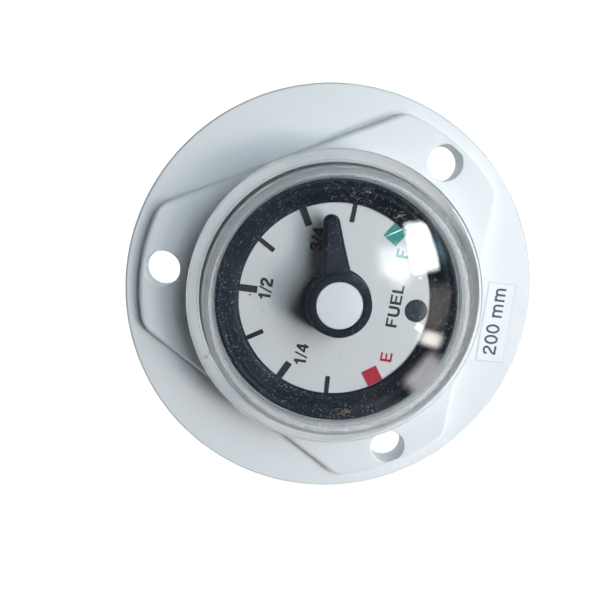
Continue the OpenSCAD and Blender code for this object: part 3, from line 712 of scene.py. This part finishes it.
# Each character's advance and its strokes, on a cap height of 1: (width, [points]).
GLYPHS = {
    "1": (DIGIT, [(BOLD, [(0.46, 0), (0.46, 1)]), (0.16, [(0.13, 0.7), (0.27, 0.73), (0.37, 0.82), (0.4, 0.96)])]),
    "2": (DIGIT, [(BOLD, [(0.135, 0.66), (0.15, 0.79), (0.24, 0.88), (0.385, 0.915), (0.53, 0.88), (0.6, 0.79),
        (0.6, 0.67), (0.53, 0.56), (0.4, 0.45), (0.27, 0.35), (0.17, 0.24), (0.13, 0.12)]),
        level(BOLD, 0.085, 0.05, 0.7)]),
    "3": (DIGIT, [(BOLD, [(0.14, 0.72), (0.165, 0.82), (0.25, 0.89), (0.375, 0.915), (0.5, 0.88), (0.56, 0.78),
        (0.54, 0.65), (0.46, 0.58), (0.31, 0.555)]),
        (BOLD, [(0.31, 0.53), (0.48, 0.52), (0.58, 0.44), (0.6, 0.3), (0.54, 0.16), (0.4, 0.085),
        (0.27, 0.09), (0.165, 0.16), (0.12, 0.28)])]),
    "4": (DIGIT, [(BOLD, [(0.53, 0), (0.53, 1)]), level(0.175, 0.3, 0.03, 0.73),
        (0.175, [(0.1, 0.32), (0.5, 0.94)])]),
    "0": (DIGIT, [(BOLD, [(0.3875 + 0.265 * sin(TAU * i / 24), 0.5 + 0.43 * cos(TAU * i / 24))
        for i in range(25)])]),
    "/": (0.387, [(0.14, [(0, -0.03), (0.37, 1.03)])]),
    "F": (0.85, [STEM, level(BAR, 0.9175, 0.1, 0.8), level(THIN, 0.5, 0.1, 0.7)]),
    "U": (1.005, [(BOLD, [(0.185, 1), (0.185, 0.36), (0.21, 0.22), (0.3, 0.11), (0.45, 0.07), (0.56, 0.07),
        (0.7, 0.11), (0.79, 0.22), (0.815, 0.36), (0.815, 1)])]),
    "E": (0.93, [STEM, level(BAR, 0.9175, 0.1, 0.83), level(THIN, 0.51, 0.1, 0.78), level(BAR, 0.0825, 0.1, 0.86)]),
    "L": (DIGIT, [STEM, level(BAR, 0.0825, 0.1, 0.74)]),
    "m": (1.16, [(0.15, [(0.175, 0), (0.175, 0.73)]), arch(0.175), arch(0.575)]),
    " ": (0.36, []),
}


def stroke(shell, points, width, place, low, high):
    """A flat ribbon of this width along the points, with square ends and mitred bends."""
    path = [Vector(point) for point in points]
    closed = len(path) > 3 and (path[0] - path[-1]).length < 1e-6
    rings = []
    for i, (x, y) in enumerate(points):
        before = path[i] - path[i - 1] if i else path[0] - path[-2] if closed else None
        after = path[i + 1] - path[i] if i + 1 < len(path) else path[1] - path[0] if closed else None
        a = (before or after).normalized()
        b = (after or before).normalized()
        middle = (a + b).normalized()
        side = Vector((-middle.y, middle.x)) * (width / 2 / max(middle.dot(a), 0.5))
        left, right = place(x + side.x, y + side.y), place(x - side.x, y - side.y)
        rings.append(shell.ring([(*left, low), (*right, low), (*right, high), (*left, high)]))
    if closed:
        shell.chain(rings)
    else:
        shell.bar(rings)


def lettering(name, text, centre, height, turn, low, slot, material, widest=1, thick=0.03, spread=1):
    """Words printed on a surface, reading along the direction turn, centred on centre. No stroke is wider than
    widest, a share of the height. Strokes that cross differ a little in thickness."""
    shell = Shell()
    pen = -sum(GLYPHS[character][0] for character in text) * height * spread / 2
    layer = 0
    for character in text:
        advance, strokes = GLYPHS[character]
        for width, points in strokes:
            def place(x, y, pen=pen):
                return spun(pen + x * height * spread, (y - 0.5) * height, radians(turn), centre)
            stroke(shell, points, min(width, widest), place, low, low + thick + 0.002 * (layer % 3))
            layer += 1
        pen += advance * height * spread
    shell.make(name, "housing", slot, material, weight=False)


PRINT = DIAL_TOP + 0.004
lettering("figure_half", "1/2", (-0.1, 14.7), 2.55, 0, PRINT, "black_print", INK_BLACK)
lettering("figure_quarter", "1/4", (-12.6, 5.1), 2.55, 0, PRINT, "black_print", INK_BLACK)
lettering("figure_three_quarters", "3/4", (11.8, 5.9), 2.55, 0, PRINT, "black_print", INK_BLACK)
lettering("word_fuel", "FUEL", (0.7, -12.55), 2.42, 0, PRINT, "black_print", INK_BLACK, spread=1.08)
lettering("letter_empty", "E", (-10.3, -12.85), 2.5, 0, PRINT, "red_print", INK_RED)
lettering("letter_full", "F", (11.75, -12), 2.5, 0, PRINT, "green_print", INK_GREEN)


# ---------------- sticker
# Thin film with round corners and a slightly domed face.
shell = Shell()
outline = box(*LABEL_HALF, 0.35, 5)
turn = radians(LABEL_TURN)
rings = [shell.ring([(*spun(u * along, v * across, turn, LABEL_AT), FLANGE_T + z) for u, v in outline])
         for along, across, z in ((1, 1, 0.002), (1, 1, 0.09), (0.985, 0.965, 0.12))]
shell.chain(rings)
shell.fill(rings[0])
shell.fill(rings[-1])
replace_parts(shell.make("label_film", "housing", "sticker", STICKER), "size_label")
lettering("label_figures", "200 mm", (0, -37.5), 3.15, 3.1, FLANGE_T + 0.122, "black_print", INK_SLATE,
          widest=0.148, thick=0.01)


# ---------------- pointer
def blade_outline(inset):
    """The blade seen from above: straight flanks and a round tip, moved in by inset."""
    lean = atan((ROOT_W - TIP_R) / (TIP_X - ROOT_X))
    r = TIP_R - inset
    root = (ROOT_X, -(ROOT_W - inset / cos(lean)))
    end = (TIP_X + r * sin(lean), -r * cos(lean))
    flank = [(root[0] + (end[0] - root[0]) * i / 10, root[1] + (end[1] - root[1]) * i / 10) for i in range(10)]
    angles = [lean - pi / 2 + (pi - 2 * lean) * i / 20 for i in range(21)]
    tip = [(TIP_X + r * cos(a), r * sin(a)) for a in angles]
    return flank + tip + [(x, -y) for x, y in reversed(flank)]


# A hub with a blade whose top swells a little towards the hub.
shell = Shell()
shell.lathe([(5.4, HUB_LOW, 0.1), (HUB_R, HUB_LOW, 0.15), (HUB_R, 13.4, 0.3), (6.72, 13.7, 0.3),
             (6.35, HUB_TOP, 0.45), (4.85, HUB_TOP, 0.25), (4.75, HUB_SEAT, 0), (1.9, HUB_SEAT, 0),
             (1.9, 15, 0), (5.4, 15, 0)], 6, 160)
levels = [(0.25, BLADE_LOW), (0.05, BLADE_LOW + 0.12), (0, BLADE_LOW + 0.35), (0, BLADE_TOP - BLADE_ROUND)]
levels += [(b, BLADE_TOP - a) for a, b in quarter(BLADE_ROUND, 7)[1:]]
loops = []
for inset, z in levels:
    swell = 1.5 if z > 14 else 0
    loops.append(shell.ring([(*spun(x, y, radians(REST)), z + swell * max(0, (13.5 - x) / 8) ** 2)
                             for x, y in blade_outline(inset)]))
shell.chain(loops)
shell.faces.append(tuple(loops[0]))
top = loops[-1]
for i in range(len(top) // 2 - 1):
    shell.faces.append((top[i], top[i + 1], top[-2 - i], top[-1 - i]))
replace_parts(shell.make("pointer_moulding", "pointer_group", "black_plastic", POINTER_BLACK), "pointer")
cap = Shell()
cap.revolve(rounded([(0, HUB_SEAT, 0), (CAP_R, HUB_SEAT, 0.05), (CAP_R, 17.3, 0.18), (0, 17.34, 0)], 5,
                    closed=False), 160)
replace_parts(cap.make("cap_disc", "pointer_group", "white_cap", CAP), "pointer_cap")


# ---------------- cage below the head
def plate(radius, edge, low, high, bores):
    """A round plate with this edge radius and round holes, given as (x, y, radius, segments)."""
    shell = Shell()
    rim = rounded([(radius - 2, low, 0), (radius, low, edge), (radius, high, edge), (radius - 2, high, 0)],
                  4, closed=False)[1:-1]
    walls = [shell.bore(rim, 200)]
    for x, y, r, segments in bores:
        wall = [(r + 0.12, low), (r, low + 0.12), (r, high - 0.12), (r + 0.12, high)]
        walls.append(shell.bore(wall, segments, (x, y)))
    shell.faces_over(walls)
    return shell


def rod_bores(r, segments):
    return [(ROD_AT, 0, r, segments), (-ROD_AT, 0, r, segments)]


SCREWS = [polar(SCREW_AT, angle) for angle in THIRDS]
PLATE_BORES = [(0, 0, 3.21, 48)] + rod_bores(1.25, 32)
top_plate = plate(24.2, 0.25, PLATE_LOW, PLATE_TOP, PLATE_BORES + [(x, y, 1.7, 32) for x, y in SCREWS])
top_plate.lathe([(5, PLATE_LOW, 0), (7.2, PLATE_LOW, 0), (6.9, PLATE_LOW - 0.5, 0.15),
                 (5.3, PLATE_LOW - 0.5, 0.15)], 3, 96)
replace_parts(top_plate.make("top_plate_moulding", "housing", "natural_plastic", NATURAL), "top_plate")
foot = plate(18, 0.4, FOOT_LOW, FOOT_TOP, PLATE_BORES + [(0, 11.05, 2.5, 48), (0, -11.05, 2.5, 48)])
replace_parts(foot.make("bottom_plate_moulding", "housing", "natural_plastic", NATURAL), "bottom_plate")


# Three screws with round heads, hexagon sockets and fine threads.
shell = Shell()
head = rounded([(HEAD_R, PLATE_LOW, 0), (HEAD_R, HEAD_LOW, 0.7), (1.6, HEAD_LOW, 0)], 5, closed=False)
thread = [(SHANK_R if k % 2 else THREAD_R, PLATE_LOW + 0.3 + k * 0.3) for k in range(22)]
for x, y in SCREWS:
    rings = shell.turned([(SHANK_R, PLATE_LOW)] + head, 48, (x, y))
    shell.chain(rings)
    socket = [shell.ring(circle(r, z, 6, (x, y), 0.5))
              for r, z in ((1.42, HEAD_LOW), (1.3, HEAD_LOW + 0.1), (1.3, HEAD_LOW + 1))]
    shell.fill(rings[-1], socket[0])
    shell.chain(socket)
    shell.fill(socket[-1])
    shell.chain(rings[:1] + shell.turned(thread + [(0, 2.9)], 48, (x, y)))
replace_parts(shell.make("cage_screw_set", "housing", "steel", STEEL), "cage_screws")


def build_rods():
    """Two rods whose thinner ends carry fine threads."""
    def thread(z, top):
        turns = []
        while z < top:
            turns += [(ROD_END_R, z), (1.08, z + 0.16)]
            z += 0.32
        return turns

    shell = Shell()
    outline = [(0, ROD_LOW), (0.95, ROD_LOW), (ROD_END_R, ROD_LOW + 0.25)] + thread(-199.6, -197)
    outline += [(ROD_END_R, -196.8), (ROD_END_R, FOOT_TOP - 0.05), (1.35, FOOT_TOP), (ROD_R, FOOT_TOP + 0.15),
                (ROD_R, PLATE_LOW - 0.15), (1.35, PLATE_LOW), (ROD_END_R, PLATE_LOW + 0.05), (ROD_END_R, -2.2)]
    outline += thread(-2.1, 1.1) + [(ROD_END_R, ROD_TOP - 0.25), (0.95, ROD_TOP), (0, ROD_TOP)]
    for x in (-ROD_AT, ROD_AT):
        shell.revolve(outline, 40, (x, 0))
    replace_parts(shell.make("guide_rod_set", "housing", "steel", STEEL_ROD, sharp=50), "guide_rods")


build_rods()


def build_nuts(name, node, low):
    """Two hexagon nuts with chamfered corners."""
    flat, sixth, high = NUT_R * cos(pi / 6), pi / 3, low + NUT_H
    shell = Shell()
    for x in (-ROD_AT, ROD_AT):
        outside = []
        for limit, z in ((2.62, low), (NUT_R, low + 0.18), (NUT_R, high - 0.18), (2.62, high)):
            points = []
            for a in [TAU * i / 48 for i in range(48)]:
                r = min(flat / cos((a - sixth / 2) % sixth - sixth / 2), limit)
                points.append((x + r * cos(a), r * sin(a), z))
            outside.append(shell.ring(points))
        bore = shell.turned([(1.41, high), (1.21, high - 0.2), (1.21, low + 0.2), (1.41, low)], 48, (x, 0))
        shell.chain(outside)
        shell.chain(bore)
        shell.join(outside[-1], bore[0])
        shell.join(bore[-1], outside[0])
    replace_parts(shell.make(name, "housing", "steel", STEEL, sharp=20), node)


build_nuts("upper_nut_set", "upper_rod_nuts", PLATE_TOP)
build_nuts("lower_nut_set", "lower_rod_nuts", FOOT_LOW - NUT_H)


def pair(name, node, profile, body, slot, material):
    """The same tube on both rods."""
    shell = Shell()
    for x in (-ROD_AT, ROD_AT):
        shell.lathe(tube(*profile), 4, 64, (x, 0))
    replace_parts(shell.make(name, body, slot, material), node)


pair("upper_stop_set", "upper_stops", (STOP_BORE, STOP_R, PLATE_LOW - STOP_T, PLATE_LOW, (0.15, 0.45, 0.3, 0.1)),
     "housing", "rubber", RUBBER)
pair("lower_stop_set", "lower_stops", (STOP_BORE, STOP_R, FOOT_TOP, FOOT_TOP + STOP_T, (0.1, 0.3, 0.45, 0.15)),
     "housing", "rubber", RUBBER)
pair("guide_bush_set", "guide_bushes", (1.65, 3.2, DISC_LOW, DISC_TOP, (0.25, 0.15, 0.15, 0.25)),
     "float_group", "bearing_plastic", BEARING)

# ---------------- float
foam_part = plate(19, 0.8, FOAM_LOW, FOAM_TOP, [(0, 0, 5.4, 96)] + rod_bores(3.3, 64))
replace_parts(foam_part.make("float_foam", "float_group", "foam", FOAM), "float")
lower = plate(17, 0.4, DISC_LOW, FOAM_LOW, [(0, 0, 5.2, 96)] + rod_bores(3.21, 64))
lower.lathe(tube(4.2, 5.3, DISC_LOW, DISC_TOP, (0.2, 0, 0.25, 0.25)), 4, 96)
for angle in range(0, 360, 30):
    if angle % 180:
        side = Vector((-sin(radians(angle)), cos(radians(angle)), 0)) * 0.35
        lower.chain([lower.ring([(x + side.x * share, y + side.y * share, z)
                                 for share, z in ((-1, DISC_LOW + 0.02), (1, DISC_LOW + 0.02), (0.6, DISC_LOW),
                                                  (-0.6, DISC_LOW))])
                     for x, y in (polar(6, angle), polar(16, angle))])
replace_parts(lower.make("float_carrier_moulding", "float_group", "natural_plastic", NATURAL), "float_carrier")
upper = plate(17, 0.4, FOAM_TOP, DISC_TOP, [(0, 0, 5.31, 96)] + rod_bores(3.21, 64))
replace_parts(upper.make("float_cover_moulding", "float_group", "natural_plastic", NATURAL), "float_cover")


# ---------------- twisted strip
def strip_ring(shell, outline, z, at):
    """The outline at height z, turned as the strip is at height at."""
    turn = radians(SWEEP / TRAVEL * (at - FOLLOWER_Z))
    return shell.ring([(*spun(x, y, turn), z) for x, y in outline])


# The twisted length, with a straight tang at each end.
shell = Shell()
outline = box(STRIP_W / 2, STRIP_T / 2, 0.16, 3)
heights = [STRIP_LOW + (STRIP_TOP - STRIP_LOW) * i / 240 for i in range(241)]
shell.bar([strip_ring(shell, outline, z, z) for z in heights])
for start, end, at in ((STRIP_TOP, STRIP_TOP + 3, STRIP_TOP), (STRIP_LOW - 3, STRIP_LOW, STRIP_LOW)):
    corners = ((2.5, 0.4), (-2.5, 0.4), (-2.5, -0.4), (2.5, -0.4))
    shell.bar([strip_ring(shell, corners, z, at) for z in (start, end)])
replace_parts(shell.make("strip_rolled", "spindle", "brass", BRASS, sharp=60, weight=False), "twisted_strip")

# ---------------- paint for the CAD nodes that stay
for paint, nodes in ((INK_BLACK, ["scale_ticks"]), (INK_RED, ["empty_mark"]), (INK_GREEN, ["full_mark"]),
                     (RUBBER, ["lens_seal", "tank_gasket"]), (STEEL, ["pointer_pivot"]),
                     (FERRITE, ["pointer_magnet", "drive_magnet"]), (NATURAL, ["magnet_holder"]),
                     (BRASS, ["pointer_bearing", "strip_head", "strip_foot", "holder_nut"]),
                     (BEARING, ["upper_bearing", "lower_bearing", "thrust_washer", "strip_follower"])):
    for node in nodes:
        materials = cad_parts[node].data.materials
        materials.clear()
        materials.append(paint)


# ---------------- dust fibres under the lens
def hairs(name, body, material, specs):
    """Curled fibres: each spec is (x, y, z, length, direction in degrees, curl, radius)."""
    shell = Shell()
    steps = 9
    for x, y, z, length, direction, curl, radius in specs:
        heading = radians(direction)
        rings = []
        for i in range(steps + 1):
            t = i / steps
            lift = z + 0.25 * sin(pi * t) * min(length, 1.5)
            nx, ny = -sin(heading), cos(heading)
            r = radius * (0.6 + 0.4 * sin(pi * t))
            rings.append(shell.ring([(x + nx * r * cos(a), y + ny * r * cos(a), lift + r * sin(a))
                                     for a in [TAU * k / 5 for k in range(5)]]))
            x += cos(heading) * length / steps
            y += sin(heading) * length / steps
            heading += curl / steps
        shell.bar(rings)
    shell.make(name, body, "white_plastic", material, weight=False, sharp=60)


dice = random.Random(7)


def strand(x, y, z, length, curl, radius):
    """A fibre for hairs, at this place and within these limits."""
    return (x, y, z, dice.uniform(*length), dice.uniform(0, 360), dice.uniform(-curl, curl), dice.uniform(*radius))


def cluster(cx, cy, spread, count, z, length, radius, curl=4):
    out = []
    for _ in range(count):
        a, d = dice.uniform(0, TAU), spread * dice.random() ** 0.7
        out.append(strand(cx + d * cos(a), cy + d * sin(a), z, length, curl, radius))
    return out


# The profile of the black ring's face, as (r, z)
RING_FACE = ((20, 10.5), (20.4, 10.8), (21, 11), (21.6, 11.4), (22.75, 12.4), (23.55, 12.5), (24.3, 12.95),
             (25, 12.95))


def ring_height(r):
    """Height of the black ring's face, for lint that lies on it."""
    for (r0, z0), (r1, z1) in zip(RING_FACE, RING_FACE[1:]):
        if r0 <= r <= r1:
            return z0 + (z1 - z0) * (r - r0) / (r1 - r0)
    return RING_FACE[-1][1]


lint = []
for angle, spread, count, length in ((0, 14, 60, (0.4, 1.5)), (40, 16, 26, (0.3, 0.9)), (95, 22, 26, (0.3, 0.8)),
                                     (-25, 14, 40, (0.3, 1)), (-85, 20, 60, (0.3, 0.8)),
                                     (-165, 20, 40, (0.3, 1.1)), (150, 25, 16, (0.3, 0.7))):
    for _ in range(count):
        r, a = dice.uniform(20.6, 24.6), radians(angle + dice.gauss(0, spread * 0.6))
        lint.append(strand(r * cos(a), r * sin(a), ring_height(r) + 0.03, length, 5, (0.018, 0.032)))
hairs("lint_on_ring", "housing", PALE, lint)
tuft = cluster(-22.3, -5.7, 0.9, 16, 0, (0.6, 1.8), (0.025, 0.04), 6)
hairs("lint_tuft", "housing", TAN, [(x, y, ring_height(hypot(x, y)) + 0.05, *rest) for x, y, _, *rest in tuft])
hairs("lint_on_hub", "pointer_group", PALE,
      cluster(5.2, 5, 1, 9, 13.75, (0.8, 2.2), (0.025, 0.04))
      + cluster(0.5, 6.4, 0.8, 7, 13.7, (0.5, 1.4), (0.02, 0.035))
      + cluster(10, 3.2, 2, 8, 15.85, (0.3, 0.8), (0.02, 0.03)))


# ---------------- floor, light and camera
# A plain pale floor that the camera sees as nearly white, and that lights the part little.
mesh = bpy.data.meshes.new("floor")
mesh.from_pydata([(x, y, FLOOR_Z * MM) for x, y in ((-3, -3), (3, -3), (3, 3), (-3, 3))], [], [(0, 1, 2, 3)])
floor = add_object("floor", mesh)
p = Paint("floor_pale", rough=0.9)
p.set("Base Color", (0.86, 0.86, 0.86))
lit = p.add("BsdfDiffuse", {"Color": (0.3, 0.3, 0.3)})
glow = p.add("Emission", {"Strength": p.beyond(250, 800, 0.9, 1)})
p.surface(p.blend(p.seen(0.35), p.bsdf, p.add("AddShader", {0: lit, 1: glow})))
mesh.materials.append(p.mat)


# White to the camera. Gloss and clear parts see it white low down and dim overhead.
world = bpy.data.worlds.new("room")
bpy.context.scene.world = world
n = Nodes(world)
n.tree.nodes.clear()
low_down = n.band(n.split(n.add("TexCoord").outputs["Generated"])[2], -0.02, 0.14, 0.35, 0)
room = n.add("Background", {"Color": (0.9, 0.95, 1), "Strength": 0.014})
white = n.add("Background", {"Color": (1, 1, 1)})
n.add("OutputWorld", {"Surface": n.blend(n.seen(low_down), room, white)})


def lamp(name, azimuth, elevation, distance, width, height, radiance, colour=(1, 1, 1), soft=0, roll=0):
    """A flat lamp facing the dial. With soft edges, given as a share of its size, it's a card that only gloss and
    clear parts show. With hard ones it lights the part but isn't mirrored."""
    data = bpy.data.lights.new(name, "AREA")
    data.shape = "RECTANGLE"
    data.size, data.size_y = width, height
    data.energy = pi * width * height * radiance
    data.color = colour
    if soft:
        n = Nodes(data)
        place = n.split(n.add("NewGeometry").outputs["Parametric"])
        fades = []
        for axis in (0, 1):
            away = n.math("ABSOLUTE", n.math("SUBTRACT", place[axis], 0.5))
            fades.append(n.band(n.math("SUBTRACT", 0.5, away), 0, soft))
        n.feed(n.tree.nodes["Emission"].inputs["Strength"], n.times(*fades))
    light = add_object(name, data)
    a, e = radians(azimuth), radians(elevation)
    away = Vector((cos(e) * cos(a), cos(e) * sin(a), sin(e)))
    light.location = Vector((0, 0, DIAL_TOP)) * MM + away * distance
    light.rotation_euler = (away.to_track_quat("Z", "Y").to_matrix().to_4x4()
                            @ Matrix.Rotation(radians(roll), 4, "Z")).to_euler()
    light.visible_glossy = light.visible_transmission = soft > 0
    light.visible_diffuse = soft == 0


FILL = (-6, 0.8, 0.5, 0.2, 4, (0.95, 0.98, 1))
for row in (
        ("window", -61, 53, 0.65, 0.62, 0.4, 5, (0.82, 0.935, 0.985)),
        ("window_glass", -64.4, 57.3, 0.651, 0.196, 0.106, 21, (0.92, 0.98, 1), 0.16, -4),
        ("window_glass_low", -68.3, 66.4, 0.66, 0.15, 0.165, 5, (0.94, 0.98, 1), 0.34, -8),
        ("window_sky", -64, 50.5, 0.65, 0.2, 0.05, 3.2, (0.5, 0.8, 1), 0.5, -4),
        ("window_frame", -50.2, 63, 0.659, 0.0045, 0.085, 12, (0.8, 0.95, 1), 0.3, -9),
        ("window_edge", -43.9, 59, 0.659, 0.006, 0.045, 5, (1, 1, 1), 0.3, -14),
        ("window_haze", -77.7, 65.3, 0.668, 0.15, 0.12, 6, (0.94, 0.98, 1), 0.5, 16),
        ("window_dot", -81.3, 59, 0.665, 0.014, 0.01, 12, (1, 1, 1), 0.4, 18),
        ("room_lamp", -100, 43, 0.42, 0.1, 0.09, 26, (1, 0.9, 0.86)),
        ("fill_left", 105, *FILL),
        ("fill_back", 170, *FILL),
        ("fill_right", -140, *FILL),
        ("room_lamp_glass", -109.5, 50, 0.42, 0.046, 0.076, 13, (1, 0.95, 0.88), 0.42, 10),
        ("room_lamp_side", -107, 55, 0.42, 0.018, 0.018, 14, (1, 0.97, 0.93), 0.25),
        ("far_wall", -123, 44, 0.9, 0.24, 0.2, 4.7, (1, 0.94, 0.98), 0.3),
        ("door", -96, 53, 0.9, 0.28, 0.17, 1.1, (1, 0.86, 0.84), 0.3)):
    lamp(*row)

camera_data = bpy.data.cameras.new("camera")
camera_data.sensor_width = 36
camera_data.lens = 36
camera_data.clip_start = 0.005
camera_data.clip_end = 20
camera = add_object("camera", camera_data)
right, up, back = (0.1701, -0.9838, 0.0570), (0.9743, 0.1593, -0.1591), (0.1474, 0.0826, 0.9856)
rows = Matrix((right, up, back)).transposed().to_4x4()
camera.matrix_world = Matrix.Translation(Vector((17.22, 17.65, 133.55)) * MM) @ rows
bpy.context.scene.camera = camera
bpy.context.scene.view_settings.view_transform = "Standard"
